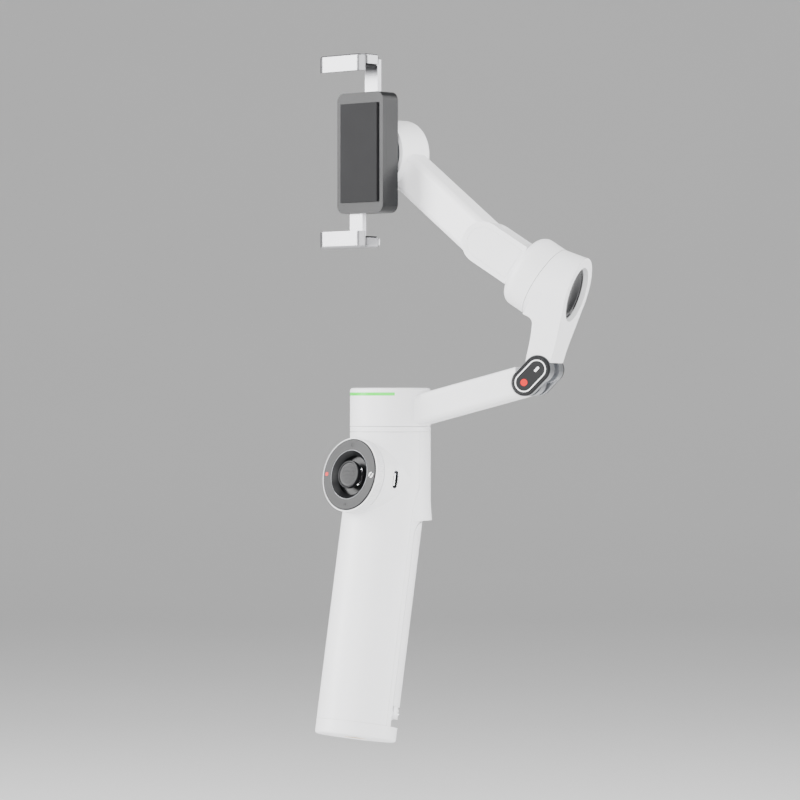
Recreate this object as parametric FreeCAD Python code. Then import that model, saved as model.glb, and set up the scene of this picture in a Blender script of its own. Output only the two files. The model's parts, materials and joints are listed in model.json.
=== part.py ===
import FreeCAD, Part
import os
from math import cos, hypot, radians, sin, tan

from FreeCAD import Vector

# A hand-held three-axis phone gimbal: a leaning grip with a control pod, an extension rod and a folded
# tripod, a pan motor, a two-pin folding elbow, a tilt motor, a cranked arm, a roll motor and a phone clamp.
# The origin is the mouth of the tripod thread in the middle of the base face. +Z is up and parallel to the
# pan axis, -Y is the front, where the thumb works the stick, and +X is the user's right.

os.makedirs("parts", exist_ok=True)

# Clearances
seam = 0.06
running = 0.05
loose = 0.35
press = 0.02

# Grip
lean = 10.2
grip_radius = 18.3
wall = 2.0
top_height = 137.5
bend_height = top_height - 10.0
base_cap_height = 6.5
lip_height = top_height - 40.0
lip_flare = 0.6
lip_rise = 9.0
recess_plane = 3.0
seam_bend = top_height - 27.5
recess_corner = 7.0
core_radius = grip_radius - 5.3
core_wall = 1.6
floor_height = 2.0
insert_radius = 5.0
thread_radius = 2.6
thread_length = 8.0
battery_radius = 9.2
battery_start = 18.0
battery_length = top_height - 61.5 - battery_start
board_width = 16.0
board_thickness = 1.6
board_length = 36.0
board_depth = grip_radius - 6.5

# Base screws
screw_head_radius = 1.9
screw_head_height = 1.4
screw_shank_radius = 1.0
screw_length = 9.0
front_screw_radius = grip_radius - 5.7
rear_screw_radius = grip_radius - 9.4
boss_radius = 3.0
boss_height = 6.0

# Tripod legs
leg_split = 7.5
leg_top_gap = 0.6
leg_pin_height = 12.5
leg_pin_radius = 1.0
knuckle_radius = 2.3
knuckle_reach = 3.4
side_pin_offset = grip_radius - 3.9
rear_pin_offset = grip_radius - 2.7
knuckle_width = 3.2
rear_knuckle_width = 8.0
ear_width = 1.7
ear_gap = 0.2
rear_ear_root = 5.5
side_ear_root = 8.5
leg_skin = 0.1

# Extension rod
rod_bottom = lip_height - 9.5
rod_top = top_height - 1.5
guide_radius = 9.0
rod_wall = 0.9
rod_stagger = 0.4
mast_bore = 3.0
section_count = 4

# Control pod
boss_front = grip_radius + 0.6
boss_front_radius = grip_radius - 1.7
boss_back = 2.0
boss_back_radius = grip_radius - 0.2
wheel_radius = boss_front_radius + 0.3
pod_height = top_height - wheel_radius - 4.6
wheel_depth = 5.5
wheel_floor = 4.3
wheel_gap = 0.15
spigot_radius = wheel_radius - 4.4
spigot_wall = 1.1
ring_radius = wheel_radius - 0.8
ring_inner = ring_radius - 5.0
ring_thickness = 1.05
dish_depth = 2.5
dish_bore = ring_inner - 2.2
stick_radius = 6.3
stick_proud = 0.75
stick_pivot = boss_front - 2.1
stick_thickness = 2.6
stem_radius = 1.9
hub_radius = 2.5
yoke_radius = 5.2
yoke_bore = 3.3
yoke_width = 2.4
axle_radius = 0.7
bracket_half_width = 6.6
bracket_inner = 5.6
bracket_height = 5.2
shield_radius = spigot_radius - 1.2
shield_bore = 4.6
shield_thickness = 0.8
shield_back = boss_front + 0.8

# Charging socket
usb_angle = 84.0
usb_offset = grip_radius - 7.9
usb_length = 9.0
usb_width = 3.2
usb_wall = 0.3
usb_depth = 6.6

# Trigger
trigger_top = top_height - 16.5
trigger_bottom = trigger_top - 18.0
trigger_width = 12.0
trigger_proud = 1.3
trigger_thickness = 3.2
trigger_pin_radius = 0.9
trigger_lug_radius = 1.8
trigger_pin_offset = grip_radius - 2.3
trigger_pin_drop = 2.1

# Pan motor
collar_height = 2.7
cap_height = 17.3
cap_wall = 2.0
cap_round = 1.5
stator_radius = grip_radius - 5.8
stator_height = 8.5
magnet_thickness = 2.0
motor_lift = 1.4
hub_wall = 1.5
bearing_radius = 5.5
bearing_width = 3.0
led_height = top_height + 17.2
led_width = 1.4
led_depth = 1.0
led_half_angle = 50.0

# Arms, in the plane that leans away from +X towards +Y
arm_yaw = 25.0
arm_half_depth = 10.5
arm_height = 13.4
arm_slope = 14.8
arm_start = (grip_radius + 5.2, top_height + 12.2)
arm_round = 2.6
cover_thickness = 1.4
cover_margin = 2.2
channel_margin = 1.2

# Elbow link
pin_low = (66.9, top_height + 22.3)
pin_spacing = 8.34
link_angle = 45.0
link_radius = 6.0
link_half_depth = 12.0
link_gap = 0.35
plate_thickness = 1.5
plate_bevel = 0.8
cheek_thickness = 3.0
elbow_pin_radius = 1.8
neck_half_width = 4.4
neck_length = 13.0
tongue_half_depth = 3.6
fork_gap = 0.25
cheek_gap = 0.15
inlay_radius = link_radius - 1.7
inlay_width = 0.55
inlay_depth = 0.3
dot_radius = 1.6
dash_length = 2.9
dash_width = 1.2

# Upper arm and tilt motor
back_foot = (79.6, top_height + 34.6)
back_lean = 17.5
inner_foot = (67.8, top_height + 34.6)
inner_bend = (70.4, top_height + 46.0)
neck_foot_height = top_height + 29.5
tilt_drop = 33.5
fork_angle = 80.0
tilt_seam = (73.2, top_height + 67.5)
motor_radius = 17.0
back_disc_rise = 28.2
rotor_length = 12.7
rotor_round = 5.0
shaft_radius = 3.0
tilt_stator_radius = motor_radius - 4.0
tilt_stator_length = 7.0
disc_recess_radius = motor_radius - 4.4
disc_recess_depth = 3.4
disc_radius = disc_recess_radius - 0.5
disc_thickness = 1.4

# Tilt arm and roll motor
phone_centre = (-16.8, 15.1, top_height + 127.5)
crank = (46.9, top_height + 84.9)
crank_half_width = 9.6
crank_half_depth = 10.0
beam_depth = 12.5
beam_half_width = 9.0
roll_motor_radius = 16.0
roll_motor_front = 32.0
beam_front = roll_motor_front + 4.0
roll_motor_back = 51.0
roll_shaft_radius = 3.5
roll_stator_radius = roll_motor_radius - 5.5
roll_bearing_front = roll_motor_front + 6.0
roll_bearing_radius = 6.5
housing_round = 2.0
beam_round = 3.0
crank_cover_margin = 2.4
crank_cover_thickness = 1.4
cup_wall = 2.0
skirt_gap = 0.6
skirt_wall = 1.8

# Phone clamp
jaw_opening = 77.3
body_back = 30.4
body_front = 20.4
body_half_width = 14.5
body_half_height = jaw_opening / 2 - 11.05
body_round = 4.0
pad_thickness = 1.0
jaw_half_width = 14.5
jaw_thickness = 4.5
jaw_front = 7.0
jaw_back = 18.5
jaw_corner = 4.0
jaw_round = 1.0
lip_overlap = 2.3
lip_thickness = 2.4
tongue_thickness = 2.4
tongue_length = 36.0
tongue_width = 8.0
tongue_gap = 0.8
web_half_width = 8.0
web_drop = 1.6
jaw_pad_thickness = 0.8
spring_radius = 2.2
spring_bore = 1.3
jaw_close = 9.6
jaw_open = 6.3
cover_back = 22.9
lug_height = 2.0
lug_inset = 0.3
spring_gap = 0.4
stop_length = 1.0
pad_margin = 3.0
jaw_pad_margin = 2.0

pan_y = bend_height * tan(radians(lean))
pan_axis = Vector(0, pan_y, 0)
up = Vector(0, 0, 1)
across = Vector(1, 0, 0)
back = Vector(0, 1, 0)
arm_out = Vector(cos(radians(arm_yaw)), sin(radians(arm_yaw)), 0)
arm_front = Vector(sin(radians(arm_yaw)), -cos(radians(arm_yaw)), 0)
grip_up = Vector(0, sin(radians(lean)), cos(radians(lean)))
grip_back = Vector(0, cos(radians(lean)), -sin(radians(lean)))


def save(name, *pieces):
    """Writes one node: a single solid, or a group of separate ones."""
    solids = [solid for piece in pieces for solid in piece.Solids]
    shape = solids[0] if len(solids) == 1 else Part.makeCompound(solids)
    shape.exportStep("parts/" + name + ".step")


def placed(shape, x_axis, y_axis, origin):
    """Moves a shape from its own axes onto x_axis, y_axis and their cross product, at origin."""
    z_axis = x_axis.cross(y_axis)
    rows = []
    for i in range(3):
        rows += [x_axis[i], y_axis[i], z_axis[i], origin[i]]
    moved = shape.copy()
    moved.Placement = FreeCAD.Placement(FreeCAD.Matrix(*rows, 0, 0, 0, 1)).multiply(shape.Placement)
    return moved


def in_grip(shape):
    """From the grip's own axes (x right, y back, z along the grip) to the row's."""
    return placed(shape, across, grip_back, Vector(0, 0, 0))


def in_grip_side(shape):
    """From a side outline (y back, z along the grip), thickened across, to the row's axes."""
    return placed(shape, grip_back, grip_up, Vector(0, 0, 0))


def in_arm(shape):
    """From an arm outline (distance from the pan axis, height), thickened towards the front."""
    return placed(shape, arm_out, up, pan_axis)


def arm_point(u, z, depth=0.0):
    return pan_axis + arm_out * u + up * z + arm_front * depth


def outline(corners):
    """A flat face whose corners are (x, y) or (x, y, radius of the rounding)."""
    points = [Vector(c[0], c[1], 0) for c in corners]
    edges = []
    ends = []
    for i, here in enumerate(points):
        radius = corners[i][2] if len(corners[i]) > 2 else 0
        before = (points[i - 1] - here).normalize()
        after = (points[(i + 1) % len(points)] - here).normalize()
        if radius == 0:
            ends.append((here, None, here))
            continue
        half = before.getAngle(after) / 2
        run = radius / tan(half)
        middle = (before + after).normalize() * (radius / sin(half) - radius)
        ends.append((here + before * run, here + middle, here + after * run))
    for i, (start, middle, end) in enumerate(ends):
        if middle:
            edges.append(Part.Arc(start, middle, end).toShape())
        following = ends[(i + 1) % len(ends)][0]
        if (following - end).Length > 1e-6:
            edges.append(Part.LineSegment(end, following).toShape())
    return Part.Face(Part.Wire(edges))


def prism(corners, low, high):
    face = outline(corners)
    face.translate(Vector(0, 0, low))
    return face.extrude(Vector(0, 0, high - low))


def rectangle(x0, x1, y0, y1, radius=0):
    return [(x0, y0, radius), (x1, y0, radius), (x1, y1, radius), (x0, y1, radius)]


def stadium(length, width, low, high):
    """A slot along local y."""
    half = length / 2
    return prism(rectangle(-width / 2, width / 2, -half, half, width / 2 - 0.001), low, high)


def disc(radius, centre, axis, low, high):
    return Part.makeCylinder(radius, high - low, centre + axis * low, axis)


def tube(radius, bore, centre, axis, low, high):
    return disc(radius, centre, axis, low, high).cut(disc(bore, centre, axis, low - 1, high + 1))


def turned(corners, centre, axis):
    """A solid of revolution from (radius, distance along the axis) corners."""
    face = placed(outline(corners), across, up, Vector(0, 0, 0))
    solid = face.revolve(Vector(0, 0, 0), up, 360)
    turn = FreeCAD.Rotation(up, axis)
    solid.Placement = FreeCAD.Placement(centre, turn).multiply(solid.Placement)
    return solid


def box(x0, x1, y0, y1, z0, z1):
    return Part.makeBox(x1 - x0, y1 - y0, z1 - z0, Vector(x0, y0, z0))


def joined(first, *others):
    return first.fuse(list(others)).removeSplitter()


def rounded(shape, radius, wanted):
    """Rounds the edges whose middle point passes the test."""
    edges = []
    for edge in shape.Edges:
        middle = edge.valueAt((edge.FirstParameter + edge.LastParameter) / 2)
        if wanted(middle, edge):
            edges.append(edge)
    return shape.makeFillet(radius, edges)


# ---- Grip -------------------------------------------------------------------------------------------


def grip_body(radius, bottom, top):
    """The leaning grip up to the bend, and the upright cylinder around the pan axis above it."""
    bend = Vector(0, pan_y, bend_height)
    length = bend_height / cos(radians(lean))
    leaning = disc(radius, Vector(0, 0, 0), grip_up, bottom, length + 2 * radius)
    middle_up = (up + grip_up).normalize()
    half_space = placed(box(-60, 60, -60, 60, -300, 0), across, middle_up.cross(across), bend)
    upright = disc(radius, pan_axis, up, lip_height, top)
    return joined(leaning.common(half_space), upright)


def pod_boss(shrink):
    """The round boss that carries the control pod, widening back into the grip."""
    front = boss_front - shrink
    cone = Part.makeCone(
        boss_back_radius - shrink,
        boss_front_radius - shrink,
        front - boss_back,
        Vector(0, -boss_back, pod_height),
        Vector(0, -1, 0),
    )
    return in_grip(cone)


def pod_space(radius, low):
    """A round space on the pod's axis, from low outward."""
    return in_grip(disc(radius, Vector(0, 0, pod_height), Vector(0, -1, 0), low, 60))


def upright_seam(along):
    """Where the plane of the pan axis lies behind the grip's axis, at a distance along the grip."""
    return (pan_y - along * sin(radians(lean))) / cos(radians(lean))


def split_side(y_gap):
    """The space in front of the seam between the two casings, shifted back by y_gap."""
    split = [
        (-80, -40),
        (y_gap, -40),
        (y_gap, seam_bend - 5, 12),
        (upright_seam(seam_bend + 5) + y_gap, seam_bend + 5, 12),
        (upright_seam(180) + y_gap, 180),
        (-80, 180),
    ]
    return in_grip_side(prism(split, -60, 60))


def leg_recess(offset):
    """The open back of the grip, between the base cap and the flared lip, shrunk by offset."""
    top = (lip_height - leg_top_gap) / cos(radians(lean)) - offset
    low = base_cap_height + offset
    corners = [
        (recess_plane + offset, low),
        (grip_radius * 2, low),
        (grip_radius * 2, top + grip_radius * 2 * tan(radians(lean))),
        (recess_plane + offset, top + recess_plane * tan(radians(lean)), recess_corner),
    ]
    return in_grip_side(prism(corners, -60, 60))


def leg_pins():
    """Each tripod leg's pin: its middle and direction in the grip's axes, and its swing's name."""
    rear = (Vector(0, rear_pin_offset, leg_pin_height), Vector(1, 0, 0))
    side_y = recess_plane + loose + ear_width + ear_gap + 0.1 + knuckle_width / 2
    right = (Vector(side_pin_offset, side_y, leg_pin_height), Vector(0, 1, 0))
    left = (Vector(-side_pin_offset, side_y, leg_pin_height), Vector(0, 1, 0))
    return {"rear": rear, "right": right, "left": left}


def leg_knuckle_width(name):
    return rear_knuckle_width if name == "rear" else knuckle_width


def leg_ears():
    """Two ears for each leg's pin, standing out of the core."""
    ears = []
    for name, (middle, along) in leg_pins().items():
        inward = Vector(-middle.x, 0, 0) if along.y else Vector(0, -middle.y, 0)
        inward.normalize()
        half = leg_knuckle_width(name) / 2 + ear_gap
        for side in (-1, 1):
            start = middle + along * (side * half)
            if side < 0:
                start = start - along * ear_width
            round_end = Part.makeCylinder(knuckle_radius, ear_width, start, along)
            root = rear_ear_root if name == "rear" else side_ear_root
            corner = start - Vector(0, 0, knuckle_radius)
            reach = inward * root
            low = Vector(min(corner.x, (corner + reach).x), min(corner.y, (corner + reach).y), corner.z)
            size_x = ear_width if along.x else root
            size_y = root if along.x else ear_width
            ears.append(joined(round_end, Part.makeBox(size_x, size_y, 2 * knuckle_radius, low)))
    return ears


def leg_pin_bore(name, radius, reach):
    middle, along = leg_pins()[name]
    return Part.makeCylinder(radius, 2 * reach, middle - along * reach, along)


def make_legs():
    """Three legs that fill the grip's open back: one behind, one to each side."""
    outer = in_grip(disc(grip_radius - leg_skin, Vector(), up, 0, 200))
    inner = in_grip(disc(core_radius + loose, Vector(), up, -5, 220))
    space = outer.common(leg_recess(loose)).cut(inner)
    under_lip = box(-60, 60, -60, 120, lip_height - leg_top_gap, 300)
    rod_relief = disc(guide_radius + loose, pan_axis, up, rod_bottom - loose, 300)
    space = space.cut(under_lip).cut(rod_relief)
    foot = in_grip(disc(grip_radius - leg_skin, Vector(), up, 0, 40))
    body_bottom = leg_pin_height + knuckle_reach
    above = in_grip(box(-60, 60, -60, 60, body_bottom, 300))
    half = leg_split - seam
    bands = {
        "rear": in_grip(box(-half, half, -60, 60, -50, 300)),
        "right": in_grip(box(leg_split + seam, 60, -60, 60, -50, 300)),
        "left": in_grip(box(-60, -leg_split - seam, -60, 60, -50, 300)),
    }
    for name, band in bands.items():
        middle, along = leg_pins()[name]
        half_width = leg_knuckle_width(name) / 2
        body = space.common(band).common(above)
        start = middle - along * half_width
        knuckle = Part.makeCylinder(knuckle_radius, 2 * half_width, start, along)
        half_x = knuckle_radius if along.y else half_width
        half_y = half_width if along.y else knuckle_radius
        shank = box(-half_x, half_x, -half_y, half_y, 0, knuckle_reach + 1.5)
        shank.translate(middle)
        root = in_grip(joined(knuckle, shank)).common(foot)
        leg = joined(body, root)
        leg = leg.cut(in_grip(leg_pin_bore(name, leg_pin_radius + running, 20)))
        save("tripod_leg_" + name, leg)


def make_hinge_pins():
    pins = [trigger_pin(trigger_pin_radius, trigger_width / 2 + 1.6)]
    for name in leg_pins():
        reach = leg_knuckle_width(name) / 2 + ear_gap + ear_width - 0.1
        pins.append(in_grip(leg_pin_bore(name, leg_pin_radius, reach)))
    save("hinge_pins", *pins)


def screw_places():
    """The base screws' centres in the grip's axes."""
    spread = front_screw_radius * sin(radians(45))
    return [(-spread, -spread), (spread, -spread), (0, rear_screw_radius)]


def usb_frame(shape):
    """From local axes (x across the slot, y along it, z outward) to the side of the pod boss."""
    angle = radians(usb_angle)
    outward = across * sin(angle) - grip_back * cos(angle)
    sideways = grip_up.cross(outward)
    rows_origin = grip_up * pod_height - grip_back * usb_offset
    return placed(shape, sideways, grip_up, rows_origin)


def usb_surface():
    """How far out along its own axis the casing's surface lies at the socket."""
    share = (usb_offset - boss_back) / (boss_front - boss_back)
    radius = boss_back_radius + (boss_front_radius - boss_back_radius) * share
    return radius / sin(radians(usb_angle))


def usb_hole_shape():
    surface = usb_surface()
    low = surface - usb_depth - press
    return usb_frame(stadium(usb_length + 2 * press, usb_width + 2 * press, low, surface + 9))


def trigger_shape(grow):
    """The trigger's block, following the upright back of the grip."""
    half = trigger_width / 2 + grow
    outer = disc(grip_radius + trigger_proud + grow, pan_axis, up, trigger_bottom - grow, trigger_top + grow)
    inner = disc(grip_radius + trigger_proud - trigger_thickness - grow, pan_axis, up, 0, 300)
    band = box(-half, half, pan_y, pan_y + 60, 0, 300)
    return outer.common(band).cut(inner)


def make_grip():
    outer = joined(grip_body(grip_radius, base_cap_height, top_height), pod_boss(0))
    floor = base_cap_height + floor_height
    inner = joined(grip_body(grip_radius - wall, floor, top_height - wall), pod_boss(wall))
    front_space = split_side(-seam)
    back_space = in_grip_side(prism(rectangle(-90, 120, -40, 200), -60, 60)).cut(split_side(seam))
    rod_hole = disc(guide_radius + press, pan_axis, up, rod_bottom - 1, top_height + 5)
    battery_end = battery_start + battery_length
    battery_hole = in_grip(disc(battery_radius + 0.2, Vector(), up, battery_start - 1, battery_end + 1))
    usb_hole = usb_hole_shape()

    front = outer.common(front_space).cut(inner)
    bosses = []
    screw_holes = []
    boss_top = base_cap_height + floor_height + boss_height
    for x, y in screw_places():
        centre = Vector(x, y, 0)
        bosses.append(in_grip(disc(boss_radius, centre, up, base_cap_height, boss_top)))
        screw_holes.append(in_grip(disc(screw_shank_radius + press, centre, up, -1, screw_length + 2)))
    front = joined(front, *bosses[:2]).common(outer)
    wheel_seat = pod_space(spigot_radius, 0)
    wheel_sweep = pod_space(wheel_radius + wheel_gap, boss_front)
    front = front.cut(wheel_seat).cut(wheel_sweep).cut(usb_hole)
    for hole in [rod_hole, battery_hole] + screw_holes:
        front = front.cut(hole)
    insert_hole = in_grip(disc(insert_radius + press, Vector(), up, -1, thread_length + press))
    front = front.cut(insert_hole)
    save("grip_front_casing", front)

    flare = Part.makeCone(grip_radius + lip_flare, grip_radius, lip_rise, pan_axis + up * lip_height, up)
    rear_outer = joined(outer, flare)
    core = in_grip(disc(core_radius, Vector(), up, 0, 200))
    core_inner = in_grip(disc(core_radius - core_wall, Vector(), up, base_cap_height + floor_height, 200))
    recess = leg_recess(0).cut(core)
    deep = inner.cut(leg_recess(-wall)).common(outer)
    rear = rear_outer.common(back_space).cut(recess).cut(deep)
    rear = rear.cut(core_inner.common(in_grip(box(-60, 60, -60, 60, 0, lip_height))))
    tube_space = disc(grip_radius - 0.2, Vector(), up, 0, 40)
    ears = [in_grip(ear.common(tube_space)) for ear in leg_ears()]
    rear = joined(rear, bosses[2].common(in_grip(disc(core_radius, Vector(), up, 0, 60))), *ears)
    rear = rear.common(back_space)
    for name in leg_pins():
        rear = rear.cut(in_grip(leg_pin_bore(name, leg_pin_radius + press, 9)))
    rear = rear.cut(trigger_shape(loose)).cut(usb_hole)
    rear = rear.cut(trigger_pin(trigger_lug_radius + loose, trigger_width / 2 + loose))
    rear = rear.cut(trigger_pin(trigger_pin_radius + press, trigger_width / 2 + 1.8))
    for hole in [rod_hole, battery_hole, insert_hole] + screw_holes:
        rear = rear.cut(hole)
    save("grip_rear_casing", rear)

    cap = disc(grip_radius, Vector(), up, 0, base_cap_height - seam)
    cap = rounded(cap, 1.2, lambda middle, edge: middle.z < 0.01)
    for x, y in screw_places():
        cap = cap.cut(disc(screw_shank_radius + press, Vector(x, y, 0), up, -1, 20))
        cap = cap.cut(disc(screw_head_radius + 0.1, Vector(x, y, 0), up, -1, screw_head_height + 0.3))
    cap = in_grip(cap).cut(insert_hole)
    save("base_cap", cap)
    save("thread_insert", in_grip(tube(insert_radius, thread_radius, Vector(), up, 0, thread_length)))
    screws = []
    for x, y in screw_places():
        head = disc(screw_head_radius, Vector(x, y, 0), up, 0.3, screw_head_height + 0.3)
        shank = disc(screw_shank_radius, Vector(x, y, 0), up, 0.5, screw_length)
        slot = box(x - 1.2, x + 1.2, y - 0.25, y + 0.25, 0, 1.0)
        screws.append(in_grip(joined(head, shank).cut(slot)))
    save("base_screws", *screws)
    save("battery_cell", in_grip(disc(battery_radius, Vector(), up, battery_start, battery_end)))

    half = board_width / 2
    board_low = pod_height - board_length / 2
    board_front = -board_depth - board_thickness
    board = box(-half, half, board_front, -board_depth, board_low, board_low + board_length)
    save("circuit_board", in_grip(board).cut(rod_hole))
    surface = usb_surface()
    casing = stadium(usb_length, usb_width, surface - usb_depth, surface - 0.5)
    inset = 2 * usb_wall
    hollow = stadium(usb_length - inset, usb_width - inset, surface - usb_depth + 0.8, surface + 1)
    tongue = prism(rectangle(-0.4, 0.4, -2.7, 2.7), surface - usb_depth + 0.5, surface - 1.2)
    save("usb_socket", usb_frame(joined(casing.cut(hollow), tongue)))
    save("rod_guide_tube", tube(guide_radius, guide_radius - rod_wall, pan_axis, up, rod_bottom, rod_top + 1))


# ---- Controls ---------------------------------------------------------------------------------------


def on_pod(shape):
    """From the pod's own axes (x right, y along the grip, z out of its face) to the row's."""
    return placed(shape, across, grip_up, grip_up * pod_height)


def pod_turned(corners):
    return on_pod(turned(corners, Vector(), up))


def make_pod():
    back_face = boss_front + wheel_gap
    front_face = back_face + wheel_depth
    floor = back_face + wheel_floor
    bore = spigot_radius + running
    rim = ring_radius + 0.15
    wheel = [
        (bore, back_face),
        (wheel_radius, back_face, 0.4),
        (wheel_radius, front_face, 0.35),
        (rim, front_face),
        (rim, floor),
        (bore, floor),
    ]
    save("control_wheel", pod_turned(wheel))
    spigot_back = board_depth + board_thickness + 0.1
    spigot_bore = spigot_radius - spigot_wall
    spigot = [
        (spigot_bore, spigot_back + 2),
        (spigot_radius - press, spigot_back + 2),
        (spigot_radius - press, floor - 0.1),
        (spigot_bore, floor - 0.1),
    ]
    save("pod_spigot", pod_turned(spigot).cut(usb_hole_shape()))

    face = front_face + 0.35
    ring_back = face - ring_thickness
    ring = [
        (ring_inner, face, 0.25),
        (ring_radius, face, 0.4),
        (ring_radius, ring_back),
        (ring_inner + 0.35, ring_back),
        (dish_bore + 0.9, face - dish_depth),
        (dish_bore, face - dish_depth),
    ]
    save("control_ring", pod_turned(ring))
    stick_front = face + stick_proud
    stick_back = stick_front - stick_thickness
    cap = [
        (0, stick_back),
        (stick_radius - 0.6, stick_back),
        (stick_radius, stick_back + 0.6),
        (stick_radius, stick_front, 0.5),
        (stick_radius - 1.0, stick_front, 0.5),
        (stick_radius - 1.4, stick_front - 0.5, 0.5),
        (0, stick_front - 0.5),
    ]
    pivot = Vector(0, 0, stick_pivot)
    socket = disc(stem_radius - 0.5, Vector(), up, 0, stick_back + 1.0)
    save("joystick_cap", pod_turned(cap).cut(on_pod(socket)))
    stem = disc(stem_radius, Vector(), up, stick_pivot, stick_back - press)
    tip = disc(stem_radius - 0.5 - press, Vector(), up, stick_pivot, stick_back + 0.9)
    hub = Part.makeSphere(hub_radius, pivot)
    cross_axle = disc(axle_radius, pivot, Vector(0, 1, 0), -yoke_radius, yoke_radius)
    save("joystick_stem", on_pod(joined(stem, tip, hub, cross_axle)))
    half = yoke_width / 2
    yoke = tube(yoke_radius, yoke_bore, Vector(), up, stick_pivot - half, stick_pivot + half)
    yoke = yoke.cut(disc(axle_radius + running, pivot, Vector(0, 1, 0), -9, 9))
    for side in (-1, 1):
        stub = disc(axle_radius, pivot, across * side, yoke_bore + 0.5, bracket_half_width - 0.1)
        yoke = joined(yoke, stub)
    save("joystick_yoke", on_pod(yoke))
    low = board_depth + board_thickness + press
    size = bracket_half_width
    inner = bracket_inner
    bracket = box(-size, size, -size, size, low, low + bracket_height)
    bracket = bracket.cut(box(-inner, inner, -inner, inner, low + 0.4, 60))
    bracket = bracket.cut(disc(axle_radius + running, pivot, across, -20, 20))
    save("joystick_bracket", on_pod(bracket))
    shield = [
        (shield_bore, shield_back),
        (shield_radius, shield_back),
        (shield_radius, shield_back + shield_thickness),
        (shield_bore, shield_back + shield_thickness),
    ]
    save("joystick_shield", pod_turned(shield))


def trigger_pin(radius, half_length):
    centre = Vector(-half_length, pan_y + trigger_pin_offset, trigger_top - trigger_pin_drop)
    return Part.makeCylinder(radius, 2 * half_length, centre, across)


def make_trigger():
    lever = joined(trigger_shape(0), trigger_pin(trigger_lug_radius, trigger_width / 2 - 0.4))
    lever = lever.cut(trigger_pin(trigger_pin_radius + running, trigger_width))
    save("trigger", lever)


# ---- Extension rod and pan motor --------------------------------------------------------------------


def section_radius(number):
    """Outer radius of a sliding section; each slides in the one before with running clearance."""
    return guide_radius - rod_wall - running - (number - 1) * (rod_wall + running)


def make_rod():
    for number in range(1, section_count + 1):
        radius = section_radius(number)
        last = number == section_count
        bore = mast_bore if last else radius - rod_wall
        top = top_height + collar_height / 2 if last else rod_top
        bottom = rod_bottom + rod_stagger * number
        save("rod_section_%d" % number, tube(radius, bore, pan_axis, up, bottom, top))


def led_sector(inner_radius, gap):
    angle = radians(led_half_angle)
    far = 3 * grip_radius
    side = far * sin(angle)
    ahead = -far * cos(angle)
    wedge = prism([(0, 0), (-side, ahead), (0, -2 * far), (side, ahead)], 0, 300)
    wedge.translate(pan_axis)
    half = led_width / 2 + gap
    band = tube(grip_radius + gap, inner_radius - gap, pan_axis, up, led_height - half, led_height + half)
    return band.common(wedge)


def arm_line(u, side):
    """Height of the lower arm's centre line (0), top edge (1) or bottom edge (-1) at distance u."""
    rise = tan(radians(arm_slope))
    half = arm_height / 2 / cos(radians(arm_slope))
    return arm_start[1] + (u - arm_start[0]) * rise + side * half


def lower_bar(start, end, margin, low, high, corner=0):
    """A length of the lower arm, from start to end along u, margin inside its outline."""
    slope = radians(arm_slope)
    lean_back = (arm_height / 2 - margin) * sin(slope)
    drop = margin / cos(slope)
    corners = [
        (start, arm_line(start, -1) + drop, corner),
        (end + lean_back, arm_line(end + lean_back, -1) + drop, corner),
        (end - lean_back, arm_line(end - lean_back, 1) - drop, corner),
        (start, arm_line(start, 1) - drop, corner),
    ]
    return prism(corners, low, high)


def pin_place(number):
    """The elbow's pins, 0 on the lower arm and 1 on the upper arm, in the arm plane."""
    angle = radians(link_angle)
    return (pin_low[0] + number * pin_spacing * cos(angle), pin_low[1] + number * pin_spacing * sin(angle))


def elbow_disc(number, radius, low, high):
    u, z = pin_place(number)
    return disc(radius, arm_point(u, z), arm_front, low, high)


def knuckle_neck(number, angle, half_width, low, high, start=0):
    """A straight neck from a pin, at an angle from the arm plane's horizontal."""
    u, z = pin_place(number)
    bar = box(start, neck_length, -half_width, half_width, low, high)
    bar = bar.rotate(Vector(), up, angle)
    bar.translate(Vector(u, z, 0))
    return in_arm(bar)


def low_tongue(grow):
    reach = tongue_half_depth + grow
    neck = knuckle_neck(0, 180 + arm_slope, neck_half_width + grow, -reach, reach)
    return joined(elbow_disc(0, link_radius, -reach, reach), neck)


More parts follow.
